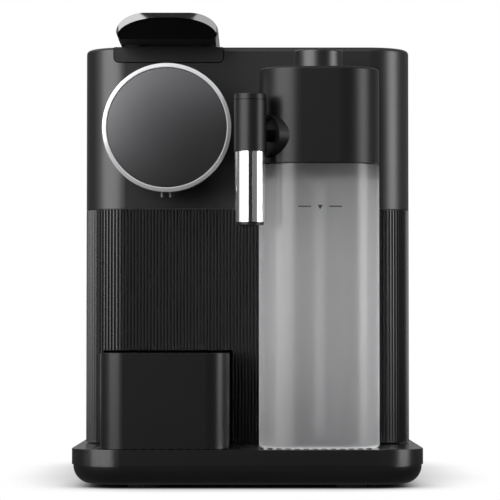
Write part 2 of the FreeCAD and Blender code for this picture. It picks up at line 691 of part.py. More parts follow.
def make_lever():
    trim_end = LEVER_FRONT + LEVER_TRIM_DEPTH
    tail = PIVOT_Y - 2 * LEVER_HUB_RADIUS
    rim = Part.makeLoft([nose_section(LEVER_FRONT), lever_section(trim_end)], True, True)
    rim = rim.cut(Part.Face(nose_section(LEVER_FRONT)).extrude(BACK * LEVER_TRIM_DEPTH))
    left = LEVER_X - LEVER_WIDTH / 2
    crest = box(left, left + LEVER_WIDTH, LEVER_FRONT, trim_end, LEVER_BOTTOM + LEVER_TRIM_RISE, LEVER_TOP)
    save("lever_trim", rim.common(crest))
    nose_front = LEVER_FRONT + LEVER_DISH
    nose = Part.Face(nose_section(nose_front)).extrude(BACK * (LEVER_TRIM_DEPTH - LEVER_DISH))
    arm = Part.Face(lever_section(trim_end)).extrude(BACK * (tail - trim_end))
    slope_start = Vector(0, BODY_FRONT, LEVER_TOP)
    slope_end = Vector(0, PIVOT_Y, PIVOT_Z + LEVER_HUB_RADIUS)
    above = Vector(0, PIVOT_Y, LEVER_TOP + LEVER_SIDE)
    wedge = Part.Face(Part.makePolygon([slope_start, slope_end, above, slope_start]))
    wedge = wedge.extrude(RIGHT * LEVER_WIDTH)
    wedge.translate(RIGHT * left)
    hub_left = LEVER_X - LEVER_HUB_WIDTH / 2
    hub = rod(2 * LEVER_HUB_RADIUS, Vector(hub_left, PIVOT_Y, PIVOT_Z), RIGHT, LEVER_HUB_WIDTH)
    neck = box(hub_left, hub_left + LEVER_HUB_WIDTH, tail - LEVER_HUB_RADIUS, PIVOT_Y,
               PIVOT_Z - LEVER_HUB_RADIUS, PIVOT_Z + LEVER_HUB_RADIUS)
    arm = arm.cut(wedge).fuse([nose, hub, neck, rim.cut(crest)])
    bore = rod(PIN_DIAMETER + 2 * RUNNING_GAP, Vector(hub_left, PIVOT_Y, PIVOT_Z), RIGHT, LEVER_HUB_WIDTH)
    save("lever_arm", arm.cut(bore).removeSplitter())


def make_lever_bay():
    rear = BODY_FRONT + BAY_DEPTH
    bay = bay_outline(0, BODY_FRONT, rear)
    half = BAY_WIDTH / 2 - BAY_WALL
    floor = BAY_BOTTOM + BAY_FLOOR
    front = BODY_FRONT + BAY_WALL
    bay = bay.cut(box(LEVER_X - half, LEVER_X + half, front, rear - BAY_WALL, floor, BODY_TOP))
    slot = CAPSULE_SLOT / 2
    slot_y = BODY_FRONT + CAPSULE_SLOT_SETBACK
    bay = bay.cut(box(LEVER_X - slot, LEVER_X + slot, slot_y - slot, slot_y + slot, BAY_BOTTOM, BODY_TOP))
    reach = LEVER_HUB_WIDTH / 2 + SLIDE_GAP
    for start in (LEVER_X - reach - LUG_THICK, LEVER_X + reach):
        lug_front = PIVOT_Y - LEVER_HUB_RADIUS
        lug = box(start, start + LUG_THICK, lug_front, lug_front + 2 * LEVER_HUB_RADIUS, floor, PIVOT_Z)
        bay = bay.fuse(lug.fuse(rod(2 * LEVER_HUB_RADIUS, Vector(start, PIVOT_Y, PIVOT_Z), RIGHT, LUG_THICK)))
    pin_start = Vector(LEVER_X - reach - LUG_THICK, PIVOT_Y, PIVOT_Z)
    pin_length = 2 * (reach + LUG_THICK)
    bay = bay.cut(rod(PIN_DIAMETER + 2 * RUNNING_GAP, pin_start, RIGHT, pin_length))
    save("lever_bay_panel", bay.removeSplitter())
    save("lever_pin", rod(PIN_DIAMETER, pin_start, RIGHT, pin_length))


def bin_prism(inset, z0, z1):
    return rounded_prism(BIN_LEFT + inset, BIN_RIGHT - inset, BIN_FRONT + inset, BIN_REAR - inset, z0, z1,
                         BIN_CORNER - inset, BIN_REAR_CORNER - inset)


def make_capsule_bin():
    stand_rear = BODY_FRONT - STAND_END_GAP
    seat = BIN_TOP - STAND_THICK
    bin_box = bin_prism(0, BIN_BOTTOM, BIN_TOP).cut(bin_prism(BIN_WALL, BIN_BOTTOM + BIN_WALL, BIN_TOP))
    ledge = bin_prism(BIN_WALL, seat - STAND_LEDGE, seat)
    ledge = ledge.cut(bin_prism(BIN_WALL + STAND_LEDGE, seat - STAND_LEDGE, seat))
    ledge = ledge.common(box(BIN_LEFT, BIN_RIGHT, BIN_FRONT, stand_rear, BIN_BOTTOM, BIN_TOP))
    save("capsule_bin", bin_box.fuse(ledge).removeSplitter())
    stand = bin_prism(BIN_WALL + SLIDE_GAP, seat, BIN_TOP)
    stand = stand.common(box(BIN_LEFT, BIN_RIGHT, BIN_FRONT, stand_rear, seat, BIN_TOP))
    side = BIN_WALL + STAND_LEDGE + SLOT_ROW_GAP
    save("cup_stand", slot_grid(stand, BIN_LEFT + side, BIN_RIGHT - side, BIN_FRONT + BIN_CORNER, 1))


def make_milk_jug():
    jug = jug_prism(0, JUG_BOTTOM, JUG_TOP)
    jug = jug.makeFillet(JUG_FOOT_ROUND, edges_at_height(jug, JUG_BOTTOM))
    save("milk_jug", jug.cut(jug_prism(JUG_WALL, JUG_BOTTOM + JUG_FLOOR, JUG_TOP)))


def collar_cone(gap):
    start = JUG_CORNER - COLLAR_SINK
    length = COLLAR_SINK + COLLAR_PROUD
    origin = Vector(CORNER_X, CORNER_Y, COLLAR_Z) + COLLAR_DIRECTION * start
    return Part.makeCone(COLLAR_ROOT / 2 + gap, COLLAR_END / 2 + gap, length, origin, COLLAR_DIRECTION)


def make_jug_lid():
    lid = jug_prism(0, LID_BOTTOM, LID_TOP)
    lid = lid.makeFillet(LID_ROUND, edges_at_height(lid, LID_TOP))
    lid = lid.cut(jug_prism(LID_WALL, LID_BOTTOM, SKIRT_TOP))
    lid = lid.cut(jug_prism(LID_WALL + LID_LEDGE, SKIRT_TOP, LID_TOP - LID_ROOF))
    centre = Vector(JUG_X, JUG_Y, LID_TOP - LID_ROOF)
    lid = lid.cut(rod(KNOB_STEM + 2 * RUNNING_GAP, centre, UP, LID_ROOF))
    plug_start = Vector(STEAM_X, JUG_REAR - LID_WALL - STEAM_DIAMETER, STEAM_Z)
    lid = lid.cut(rod(STEAM_DIAMETER + 2 * RUNNING_GAP, plug_start, BACK, 2 * STEAM_DIAMETER))
    save("jug_lid", lid.cut(collar_cone(RUNNING_GAP)).removeSplitter())
    plug = rod(STEAM_DIAMETER, plug_start, BACK, BODY_FRONT - SLIDE_GAP - plug_start.y)
    save("steam_plug", plug.cut(rod(STEAM_BORE, plug_start, BACK, 2 * STEAM_DIAMETER)))
    knob = rod(KNOB_DIAMETER, Vector(JUG_X, JUG_Y, LID_TOP + RUNNING_GAP), UP, KNOB_HEIGHT)
    knob = knob.makeFillet(LID_ROUND, edges_at_height(knob, LID_TOP + RUNNING_GAP + KNOB_HEIGHT))
    save("froth_knob", knob.fuse(rod(KNOB_STEM, centre, UP, LID_ROOF + LID_ROUND)).removeSplitter())


def make_lid_skirt():
    inset = JUG_WALL + SEAM_GAP
    low = JUG_TOP - SKIRT_DROP
    plate = SKIRT_TOP - SKIRT_PLATE
    skirt = jug_prism(inset, low, SKIRT_TOP).cut(jug_prism(inset + SKIRT_WALL, low, plate))
    seal_low = low + SEAL_HEIGHT
    groove = jug_prism(0, seal_low, seal_low + SEAL_HEIGHT)
    groove = groove.cut(jug_prism(inset + SEAL_DEPTH, seal_low, seal_low + SEAL_HEIGHT))
    top = Vector(JUG_X, JUG_Y, plate)
    skirt = skirt.cut(collar_cone(SLIDE_GAP)).cut(groove)
    skirt = skirt.cut(rod(SUCTION_DIAMETER + 2 * RUNNING_GAP, top, UP, SKIRT_PLATE))
    save("lid_skirt", skirt)
    save("lid_seal", groove.common(jug_prism(inset - SLIDE_GAP / 2, seal_low, seal_low + SEAL_HEIGHT)))
    foot = Vector(JUG_X, JUG_Y, JUG_BOTTOM + JUG_FLOOR + SUCTION_FLOOR_GAP)
    save("suction_tube", ring(SUCTION_DIAMETER, SUCTION_BORE, foot, UP, SKIRT_TOP - foot.z))


def make_spout():
    corner = Vector(CORNER_X, CORNER_Y, COLLAR_Z)
    end = JUG_CORNER + COLLAR_PROUD
    recess = end - COLLAR_RECESS_DEPTH
    collar = collar_cone(0).cut(rod(COLLAR_RECESS, corner + COLLAR_DIRECTION * recess, COLLAR_DIRECTION, end))
    bore = rod(NECK_DIAMETER + 2 * RUNNING_GAP, corner, COLLAR_DIRECTION, end)
    save("spout_collar", collar.cut(bore))
    neck_start = JUG_CORNER - COLLAR_SINK
    neck_root = corner + COLLAR_DIRECTION * neck_start
    neck = rod(NECK_DIAMETER, neck_root, COLLAR_DIRECTION, SPOUT_REACH - neck_start)
    axis = corner + COLLAR_DIRECTION * SPOUT_REACH
    foot = Vector(axis.x, axis.y, SLEEVE_BOTTOM)
    sleeve = rod(SLEEVE_DIAMETER, foot, UP, SLEEVE_TOP - SLEEVE_BOTTOM).fuse(neck)
    save("spout_sleeve", sleeve.cut(rod(SPOUT_BORE, foot, UP, SLEEVE_TOP - SLEEVE_BOTTOM)).removeSplitter())
    cap = rod(SLEEVE_DIAMETER - CAP_LINE, Vector(axis.x, axis.y, SLEEVE_TOP + CAP_LINE), UP, CAP_HEIGHT)
    save("spout_cap", cap.makeFillet(CAP_LINE * 2, edges_at_height(cap, SLEEVE_TOP + CAP_LINE + CAP_HEIGHT)))
    low = Vector(axis.x, axis.y, TUBE_BOTTOM)
    save("spout_tube", ring(TUBE_DIAMETER, SPOUT_BORE, low, UP, SLEEVE_BOTTOM - TUBE_BOTTOM))
    save("spout_tip", ring(TIP_DIAMETER, SPOUT_BORE, low - UP * TIP_DROP, UP, TIP_DROP))


def make_water_tank():
    stem_hole = Vector(0, TANK_Y, BASE_TOP - DOCK_DEPTH / 2)
    tank = tank_prism(0, TANK_BOTTOM, TANK_TOP).cut(tank_prism(TANK_WALL, TANK_BOTTOM + TANK_WALL, TANK_TOP))
    save("water_tank", tank.cut(rod(VALVE_STEM + 2 * RUNNING_GAP, stem_hole, UP, VALVE_HEIGHT)))
    valve = rod(VALVE_DIAMETER, Vector(0, TANK_Y, TANK_BOTTOM + TANK_WALL), UP, VALVE_HEIGHT)
    valve = valve.fuse(rod(VALVE_STEM, stem_hole, UP, VALVE_HEIGHT))
    save("tank_valve", valve.removeSplitter())
    lid = tank_prism(0, TANK_TOP + RUNNING_GAP, TANK_TOP + TANK_LID_HEIGHT)
    lid = lid.makeFillet(LID_ROUND, edges_at_height(lid, TANK_TOP + TANK_LID_HEIGHT))
    plug = tank_prism(TANK_WALL + TANK_LID_GAP, TANK_TOP - TANK_LID_PLUG, TANK_TOP + LID_ROUND)
    plug = plug.cut(tank_prism(2 * TANK_WALL + TANK_LID_GAP, TANK_TOP - TANK_LID_PLUG, TANK_TOP + LID_ROUND))
    save("tank_lid", lid.fuse(plug).removeSplitter())
    floor = Vector(0, TANK_Y, BASE_TOP - DOCK_DEPTH)
    dock = ring(DOCK_DIAMETER - 2 * RUNNING_GAP, VALVE_STEM + 2 * SLIDE_GAP, floor, UP, DOCK_DEPTH)
    seal_z = floor + UP * (DOCK_DEPTH - SEAL_HEIGHT)
    seal_outer = VALVE_STEM + 4 * SEAL_HEIGHT
    save("tank_dock", dock.cut(rod(seal_outer, seal_z, UP, SEAL_HEIGHT)))
    save("dock_seal", ring(seal_outer, VALVE_STEM + 2 * SLIDE_GAP, seal_z, UP, SEAL_HEIGHT))


def make_brew_unit():
    """Side plates on legs with a front plate behind the outlet; the piston slides between them."""
    front = BODY_FRONT + BREW_START
    rear = front + BREW_LENGTH
    low = HEAD_Z - BREW_HALF_HEIGHT
    high = HEAD_Z + BREW_HALF_HEIGHT
    half = BREW_WIDTH / 2
    plates = []
    for x in (HEAD_X - half - BREW_PLATE, HEAD_X + half):
        plates.append(box(x, x + BREW_PLATE, front, rear, low, high))
        leg_front = BIN_REAR + BREW_START
        plates.append(box(x, x + BREW_PLATE, leg_front, leg_front + BREW_LEG_LENGTH, BODY_BOTTOM, high))
    for y in (front, rear - BREW_PLATE):
        plates.append(box(HEAD_X - half, HEAD_X + half, y, y + BREW_PLATE, low, high))
    frame = plates[0].fuse(plates[1:])
    frame = frame.cut(rod(PISTON_SEAL_DIAMETER, Vector(HEAD_X, front, HEAD_Z), BACK, BREW_PLATE))
    piston_front = BODY_FRONT + PISTON_SETBACK
    track = PISTON_GUIDE_HEIGHT / 2 + SLIDE_GAP
    wide = half + BREW_PLATE
    track_front = piston_front - SLIDE_GAP
    track_rear = piston_front + PISTON_LENGTH + LEVER_STROKE + SLIDE_GAP
    low = HEAD_Z - track
    frame = frame.cut(box(HEAD_X - wide, HEAD_X + wide, track_front, track_rear, low, low + 2 * track))
    save("brew_frame", frame.removeSplitter())
    guide = PISTON_GUIDE_HEIGHT / 2
    piston = rod(PISTON_DIAMETER, Vector(HEAD_X, piston_front, HEAD_Z), BACK, PISTON_LENGTH)
    piston = piston.fuse(box(HEAD_X - wide, HEAD_X + wide, piston_front, piston_front + PISTON_LENGTH,
                             HEAD_Z - guide, HEAD_Z + guide))
    save("brew_piston", piston.removeSplitter())
    seal_start = Vector(HEAD_X, piston_front - PISTON_SEAL_THICK, HEAD_Z)
    save("piston_seal", ring(PISTON_SEAL_DIAMETER, PISTON_DIAMETER / 2, seal_start, BACK, PISTON_SEAL_THICK))


def heater(x, y, z):
    """Cast heater block with cooling fins along its top."""
    half = HEATER_WIDTH / 2
    deep = HEATER_DEPTH / 2
    block = box(x - half, x + half, y - deep, y + deep, z, z + HEATER_HEIGHT)
    pitch = (HEATER_DEPTH - HEATER_FIN) / (HEATER_FINS - 1)
    top = z + HEATER_HEIGHT
    fins = []
    for index in range(HEATER_FINS):
        fin = y - deep + index * pitch
        fins.append(box(x - half, x + half, fin, fin + HEATER_FIN, top, top + 2 * HEATER_FIN))
    return block.fuse(fins)


def make_heaters():
    save("coffee_thermoblock", heater(COFFEE_HEATER_X, COFFEE_HEATER_Y, COFFEE_HEATER_Z))
    save("steam_thermoblock", heater(STEAM_HEATER_X, STEAM_HEATER_Y, STEAM_HEATER_Z))


def make_pump():
    top = BODY_BOTTOM + PUMP_MOUNT_HEIGHT
    axis = top + PUMP_DIAMETER / 2
    start = PUMP_Y - PUMP_LENGTH / 2
    pump = rod(PUMP_DIAMETER, Vector(PUMP_X, start, axis), BACK, PUMP_LENGTH)
    foot = PUMP_DIAMETER / 3
    pump = pump.fuse(box(PUMP_X - foot, PUMP_X + foot, start, start + PUMP_LENGTH, top, axis))
    pump = pump.fuse(rod(2 * HOSE_DIAMETER, Vector(PUMP_X, start - HOSE_DIAMETER, axis), BACK, HOSE_DIAMETER))
    save("water_pump", pump.removeSplitter())
    mounts = []
    for y in (start, start + PUMP_LENGTH - PUMP_MOUNT_WIDTH):
        mounts.append(box(PUMP_X - foot, PUMP_X + foot, y, y + PUMP_MOUNT_WIDTH, BODY_BOTTOM, top))
    save("pump_mounts", Part.makeCompound(mounts))


def make_water_path():
    meter_top = BODY_BOTTOM + METER_HEIGHT
    save("flow_meter", rod(METER_DIAMETER, Vector(METER_X, METER_Y, BODY_BOTTOM), UP, METER_HEIGHT))
    valve_z = STEAM_HEATER_Z + HEATER_HEIGHT + 2 * HEATER_FIN
    half = VALVE_BLOCK / 2
    save("solenoid_valve", box(STEAM_HEATER_X - half, STEAM_HEATER_X + half, STEAM_HEATER_Y - half,
                               STEAM_HEATER_Y + half, valve_z, valve_z + VALVE_BLOCK))
    inlet_z = BASE_TOP - DOCK_DEPTH - HOSE_DIAMETER
    inlet = hose([(0, TANK_Y, BASE_TOP - DOCK_DEPTH), (0, TANK_Y, inlet_z), (METER_X, METER_Y, inlet_z),
                  (METER_X, METER_Y, BODY_BOTTOM)], HOSE_DIAMETER)
    pump_axis = BODY_BOTTOM + PUMP_MOUNT_HEIGHT + PUMP_DIAMETER / 2
    pump_rear = PUMP_Y + PUMP_LENGTH / 2
    feed = hose([(METER_X, METER_Y, meter_top), (METER_X, METER_Y, pump_axis), (PUMP_X, METER_Y, pump_axis),
                 (PUMP_X, pump_rear, pump_axis)], HOSE_DIAMETER)
    coffee_y = COFFEE_HEATER_Y - HEATER_DEPTH / 4
    coffee_z = COFFEE_HEATER_Z + HEATER_HEIGHT / 2
    pump_out = PUMP_Y - PUMP_LENGTH / 2 - HOSE_DIAMETER
    out_y = pump_out - 2 * HOSE_DIAMETER
    brew = hose([(PUMP_X, pump_out, pump_axis), (PUMP_X, out_y, pump_axis), (0, out_y, pump_axis),
                 (0, out_y, coffee_z), (0, coffee_y, coffee_z),
                 (COFFEE_HEATER_X + HEATER_WIDTH / 2, coffee_y, coffee_z)], HOSE_DIAMETER)
    steam_z = valve_z + VALVE_BLOCK / 2
    rise_y = STEAM_HEATER_Y - VALVE_BLOCK
    steam = hose([(STEAM_HEATER_X, STEAM_HEATER_Y - half, steam_z), (STEAM_HEATER_X, rise_y, steam_z),
                  (STEAM_HEATER_X, rise_y, STEAM_Z), (STEAM_X, rise_y, STEAM_Z),
                  (STEAM_X, BODY_FRONT + 2 * SHELL_WALL, STEAM_Z)], HOSE_DIAMETER)
    save("water_hoses", Part.makeCompound([inlet, feed, brew, steam]))
    start = Vector(STEAM_X, BODY_FRONT, STEAM_Z)
    socket = rod(STEAM_DIAMETER, start, BACK, SHELL_WALL)
    socket = socket.fuse(rod(SOCKET_FLANGE, start + BACK * SHELL_WALL, BACK, SHELL_WALL))
    save("steam_socket", socket.cut(rod(STEAM_BORE, start, BACK, 2 * SHELL_WALL)).removeSplitter())


def make_main_board():
    x = BODY_WIDTH / 2 - FRAME_INSET - FRAME_WALL - BOARD_THICK
    y = PUMP_Y - BOARD_LENGTH / 2
    z = BODY_BOTTOM + BOARD_RISE
    save("main_board", box(x, x + BOARD_THICK, y, y + BOARD_LENGTH, z, z + BOARD_HEIGHT))


os.makedirs("parts", exist_ok=True)
base = base_form()
make_drip_tray(base)
make_base_chassis(base)
make_inner_frame()
make_ribbed_shell()
make_rear_cover()
make_upper_shell()
make_outlet_head()
make_lever()
make_lever_bay()
make_capsule_bin()
make_milk_jug()
make_jug_lid()
make_lid_skirt()
make_spout()
make_water_tank()
make_brew_unit()
make_heaters()
make_pump()
make_water_path()
make_main_board()
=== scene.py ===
import math
import bpy
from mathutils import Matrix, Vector


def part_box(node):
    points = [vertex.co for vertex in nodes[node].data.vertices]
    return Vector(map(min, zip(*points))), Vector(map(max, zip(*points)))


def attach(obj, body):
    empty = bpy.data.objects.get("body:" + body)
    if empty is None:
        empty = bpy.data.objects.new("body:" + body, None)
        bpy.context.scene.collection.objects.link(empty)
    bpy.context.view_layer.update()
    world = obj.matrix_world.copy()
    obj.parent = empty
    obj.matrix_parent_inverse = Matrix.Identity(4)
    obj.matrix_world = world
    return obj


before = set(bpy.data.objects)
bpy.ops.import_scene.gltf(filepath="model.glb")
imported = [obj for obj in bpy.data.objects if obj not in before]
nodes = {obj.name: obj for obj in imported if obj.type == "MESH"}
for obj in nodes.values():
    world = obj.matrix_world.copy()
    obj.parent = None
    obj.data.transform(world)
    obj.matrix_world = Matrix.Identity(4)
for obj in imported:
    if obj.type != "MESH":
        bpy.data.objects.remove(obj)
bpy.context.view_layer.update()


# Base and drip tray: one low moulded foot in satin black plastic.
# The front part is the drip tray, which slides out of the rear part on two runners.
# A mould leaves a faint cloudiness in the gloss and a fine grain, which the other mouldings share.
cloud_scale = 14.0
mould_grain = bpy.data.node_groups.new("mould_grain", "ShaderNodeTree")
for name, way in (("Grain Scale", "INPUT"), ("Cloud", "OUTPUT"), ("Grain", "OUTPUT")):
    mould_grain.interface.new_socket(name=name, in_out=way, socket_type="NodeSocketFloat")
group_in = mould_grain.nodes.new("NodeGroupInput")
group_out = mould_grain.nodes.new("NodeGroupOutput")
place = mould_grain.nodes.new("ShaderNodeTexCoord")
cloud = mould_grain.nodes.new("ShaderNodeTexNoise")
cloud.inputs["Scale"].default_value = cloud_scale
cloud.inputs["Detail"].default_value = 3.0
grain = mould_grain.nodes.new("ShaderNodeTexNoise")
grain.inputs["Detail"].default_value = 2.0
mould_grain.links.new(place.outputs["Object"], cloud.inputs["Vector"])
mould_grain.links.new(place.outputs["Object"], grain.inputs["Vector"])
mould_grain.links.new(group_in.outputs["Grain Scale"], grain.inputs["Scale"])
mould_grain.links.new(cloud.outputs["Fac"], group_out.inputs["Cloud"])
mould_grain.links.new(grain.outputs["Fac"], group_out.inputs["Grain"])


def moulded_finish(name, dark, light, rough, shine=0.5, metallic=0.0, grain_scale=900.0, grain_depth=0.05):
    """A moulded, cast or plated surface: clouded colour and gloss, with a fine grain in its normals."""
    grain_height = 0.0003
    rough_low, rough_high = rough
    finish = bpy.data.materials.new(name)
    finish.use_nodes = True
    tree = finish.node_tree
    shader = tree.nodes["Principled BSDF"]
    shader.inputs["Specular IOR Level"].default_value = shine
    shader.inputs["Metallic"].default_value = metallic
    surface = tree.nodes.new("ShaderNodeGroup")
    surface.node_tree = mould_grain
    surface.inputs["Grain Scale"].default_value = grain_scale
    colour = tree.nodes.new("ShaderNodeMix")
    colour.data_type = "RGBA"
    colour.inputs["A"].default_value = (*dark, 1.0)
    colour.inputs["B"].default_value = (*light, 1.0)
    gloss = tree.nodes.new("ShaderNodeMapRange")
    gloss.inputs["To Min"].default_value = rough_low
    gloss.inputs["To Max"].default_value = rough_high
    bump = tree.nodes.new("ShaderNodeBump")
    bump.inputs["Strength"].default_value = grain_depth
    bump.inputs["Distance"].default_value = grain_height
    tree.links.new(surface.outputs["Cloud"], colour.inputs["Factor"])
    tree.links.new(surface.outputs["Cloud"], gloss.inputs["Value"])
    tree.links.new(surface.outputs["Grain"], bump.inputs["Height"])
    tree.links.new(colour.outputs["Result"], shader.inputs["Base Color"])
    tree.links.new(gloss.outputs["Result"], shader.inputs["Roughness"])
    tree.links.new(bump.outputs["Normal"], shader.inputs["Normal"])
    return finish


def wear(finish, *names):
    """Give the named CAD pieces this finish alone."""
    for name in names:
        nodes[name].data.materials.clear()
        nodes[name].data.materials.append(finish)


satin_black = moulded_finish(
    "satin_black", dark=(0.004, 0.004, 0.0045), light=(0.006, 0.006, 0.0065), rough=(0.21, 0.24), shine=0.85)
wear(satin_black, "drip_tray", "base_chassis")

# Drip grid: a thin plate of polished steel with straight slots that lies in the tray's rim.
# The lever's pin and the screws of the shells are of the same bright steel.
rolled_steel = moulded_finish(
    "rolled_steel", dark=(0.52, 0.52, 0.53), light=(0.60, 0.60, 0.61), rough=(0.14, 0.24), metallic=1.0,
    grain_scale=1500.0, grain_depth=0.03)
wear(rolled_steel, "drip_grid", "lever_pin", "shell_screws")

# Feet and seals: soft black rubber with a dull moulded skin.
# The feet are pressed into shallow sockets under the tray and the base.
soft_rubber = moulded_finish(
    "soft_rubber", dark=(0.012, 0.012, 0.012), light=(0.022, 0.022, 0.022), rough=(0.75, 0.9),
    grain_scale=500.0, grain_depth=0.12)
wear(soft_rubber, "base_feet", "tray_feet", "lid_seal", "piston_seal", "dock_seal", "pump_mounts")

# Ribbed lower shell: a wrap of black plastic with fine upright ribs, clipped over the inner frame.
# The rear cover closes its back and carries the gland where a mains lead would enter.
rib_black = moulded_finish(
    "rib_black", dark=(0.006, 0.006, 0.0065), light=(0.008, 0.008, 0.0085), rough=(0.22, 0.25), shine=0.42)
wear(rib_black, "ribbed_shell", "rear_cover", "cord_gland")

# Upper shell: a smooth satin moulding over the brew unit and heaters.
# The lever bay panel fills the cut-out in its top and front edge.
shell_black = moulded_finish(
    "shell_black", dark=(0.005, 0.005, 0.0055), light=(0.007, 0.007, 0.0075), rough=(0.33, 0.37), shine=0.55)
wear(shell_black, "upper_shell", "lever_bay_panel")

# Outlet head: a short drum with a plain satin disc in a silver ring, and two small nozzles below.
# The disc bulges slightly, more steeply up and down than across.
# Its sheen therefore fades from the upper left to the lower right.
wear(shell_black, "outlet_head", "coffee_outlet")
disc_satin = moulded_finish(
    "disc_satin", dark=(0.105, 0.105, 0.11), light=(0.125, 0.125, 0.13), rough=(0.30, 0.34), metallic=1.0,
    grain_scale=1400.0, grain_depth=0.04)
dome_height = 0.0028
dome_across = 0.7
disc_low, disc_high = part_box("outlet_disc")
disc_radius = (disc_high[0] - disc_low[0]) / 2
disc_x = (disc_low[0] + disc_high[0]) / 2
disc_z = (disc_low[2] + disc_high[2]) / 2
scale_across = dome_across / disc_radius
scale_upward = 1 / disc_radius
disc_tree = disc_satin.node_tree
disc_place = disc_tree.nodes.new("ShaderNodeTexCoord")
disc_middle = disc_tree.nodes.new("ShaderNodeMapping")
disc_middle.inputs["Location"].default_value = (-disc_x * scale_across, 0.0, -disc_z * scale_upward)
disc_middle.inputs["Scale"].default_value = (scale_across, 0.0, scale_upward)
disc_reach = disc_tree.nodes.new("ShaderNodeVectorMath")
disc_reach.operation = "DOT_PRODUCT"
disc_fall = disc_tree.nodes.new("ShaderNodeMath")
disc_fall.operation = "SUBTRACT"
disc_fall.inputs[0].default_value = 1.0
disc_dome = disc_tree.nodes.new("ShaderNodeBump")
disc_dome.inputs["Strength"].default_value = 1.0
disc_dome.inputs["Distance"].default_value = dome_height
disc_tree.links.new(disc_place.outputs["Object"], disc_middle.inputs["Vector"])
disc_tree.links.new(disc_middle.outputs["Vector"], disc_reach.inputs[0])
disc_tree.links.new(disc_middle.outputs["Vector"], disc_reach.inputs[1])
disc_tree.links.new(disc_reach.outputs["Value"], disc_fall.inputs[1])
disc_tree.links.new(disc_fall.outputs["Value"], disc_dome.inputs["Height"])
disc_tree.links.new(disc_dome.outputs["Normal"], disc_tree.nodes["Bump"].inputs["Normal"])
wear(disc_satin, "outlet_disc")
ring_silver = moulded_finish(
    "ring_silver", dark=(0.66, 0.66, 0.67), light=(0.70, 0.70, 0.71), rough=(0.26, 0.32), metallic=0.4,
    grain_scale=1200.0, grain_depth=0.01)
wear(ring_silver, "outlet_ring")

# Lever: a gloss black arm with a bright plated rim along the top of its front end.
# It turns on a steel pin at its rear and opens the capsule slot.
lever_gloss = moulded_finish(
    "lever_gloss", dark=(0.0015, 0.0015, 0.0016), light=(0.0025, 0.0025, 0.0026), rough=(0.10, 0.16),
    shine=0.15, grain_depth=0.01)
wear(lever_gloss, "lever_arm")
rim_chrome = moulded_finish(
    "rim_chrome", dark=(0.82, 0.82, 0.83), light=(0.86, 0.86, 0.87), rough=(0.10, 0.14), metallic=1.0,
    grain_scale=700.0, grain_depth=0.0)
wear(rim_chrome, "lever_trim")

# Control panel: a gloss touch plate set flush in the top, beside the lever.
# Three printed rings of growing size mark the places to touch, for a small, a middle and a large cup.
wear(lever_gloss, "control_panel")
touch_grey = moulded_finish("touch_grey", dark=(0.42, 0.42, 0.42), light=(0.48, 0.48, 0.48), rough=(0.4, 0.5))
panel_low, panel_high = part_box("control_panel")
touch_radii = (0.0045, 0.006, 0.0075)
touch_spacing = 0.024
touch_line = 0.0008
touch_rise = 0.00012
touch_sides = 48
for step, touch_radius in enumerate(touch_radii):
    touch_x = (panel_low[0] + panel_high[0]) / 2 + (step - 1) * touch_spacing
    touch_y = (panel_low[1] + panel_high[1]) / 2
    touch_place = (touch_x, touch_y, panel_high[2])
    bpy.ops.object.select_all(action="DESELECT")
    bpy.ops.mesh.primitive_circle_add(vertices=touch_sides, radius=touch_radius, location=touch_place)
    touch_mark = bpy.context.object
    touch_mark.name = "touch_ring_%d" % (step + 1)
    bpy.ops.object.transform_apply(location=True, rotation=True, scale=True)
    bpy.ops.object.mode_set(mode="EDIT")
    bpy.ops.mesh.select_all(action="SELECT")
    bpy.ops.mesh.extrude_region_move()
    shrink = 1 - touch_line / touch_radius
    bpy.ops.transform.resize(value=(shrink, shrink, 1.0), center_override=touch_place)
    bpy.ops.mesh.select_all(action="SELECT")
    bpy.ops.mesh.extrude_region_move(TRANSFORM_OT_translate={"value": (0, 0, touch_rise)})
    bpy.ops.mesh.select_all(action="SELECT")
    bpy.ops.mesh.normals_make_consistent(inside=False)
    bpy.ops.object.mode_set(mode="OBJECT")
    touch_mark.data.materials.append(touch_grey)
    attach(touch_mark, "machine")

# Capsule bin: a deep black box for the used capsules, which slides out to the front.
# Its front is the cup stand, with a slotted plate for the cup laid in its top.
stand_black = moulded_finish(
    "stand_black", dark=(0.006, 0.006, 0.0065), light=(0.008, 0.008, 0.0085), rough=(0.28, 0.32), shine=0.30)
wear(stand_black, "capsule_bin", "cup_stand")

# Milk jug: a thick-walled frosted jug of smoke grey plastic.
# Its outer skin scatters the light, so what is behind it shows only as a soft shade.
# The wall scatters once, on its way in, and lets the light out again.
smoke_jug = moulded_finish(
    "smoke_jug", dark=(0.33, 0.33, 0.335), light=(0.35, 0.35, 0.355), rough=(0.36, 0.39), shine=0.6,
    grain_scale=700.0, grain_depth=0.02)
jug_tree = smoke_jug.node_tree
jug_shader = jug_tree.nodes["Principled BSDF"]
jug_shader.inputs["Transmission Weight"].default_value = 0.85
jug_shader.inputs["IOR"].default_value = 1.45
jug_shader.inputs["Coat Weight"].default_value = 1.0
jug_shader.inputs["Coat Roughness"].default_value = 0.2
jug_through = jug_tree.nodes.new("ShaderNodeBsdfTranslucent")
jug_through.inputs["Color"].default_value = (0.90, 0.90, 0.91, 1.0)
jug_skin = jug_tree.nodes.new("ShaderNodeMixShader")
jug_skin.inputs["Fac"].default_value = 0.55
jug_side = jug_tree.nodes.new("ShaderNodeNewGeometry")
jug_inside = jug_tree.nodes.new("ShaderNodeBsdfTransparent")
jug_wall = jug_tree.nodes.new("ShaderNodeMixShader")
jug_tree.links.new(jug_shader.outputs["BSDF"], jug_skin.inputs[1])
jug_tree.links.new(jug_through.outputs["BSDF"], jug_skin.inputs[2])
jug_tree.links.new(jug_side.outputs["Backfacing"], jug_wall.inputs["Fac"])
jug_tree.links.new(jug_skin.outputs["Shader"], jug_wall.inputs[1])
